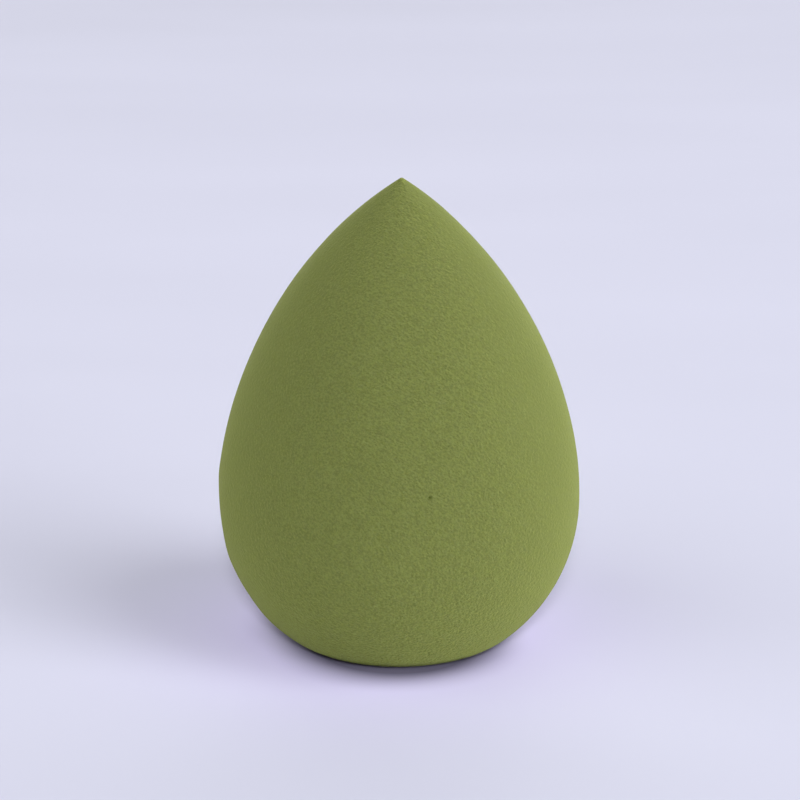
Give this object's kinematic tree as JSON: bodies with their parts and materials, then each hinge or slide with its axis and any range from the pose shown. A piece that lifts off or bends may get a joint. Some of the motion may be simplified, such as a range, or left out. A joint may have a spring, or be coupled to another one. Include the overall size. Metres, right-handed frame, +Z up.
{
  "type": "makeup sponge",
  "caption": "Teardrop foam sponge for blending make-up, with a wide round belly, a drawn-in point and a small flat foot to stand on.",
  "frame": {"origin": "centre of the flat foot, on the surface that the sponge stands on", "axes": "+Z up the sponge's axis, from the foot to the point; the body is round about it, so +X and +Y are free"},
  "size_m": [0.0454, 0.0454, 0.06],
  "materials": {
    "foam": "matt fine-celled polyurethane foam, olive green all through"
  },
  "bodies": {
    "root": {"sponge": "foam"}
  },
  "joints": []
}
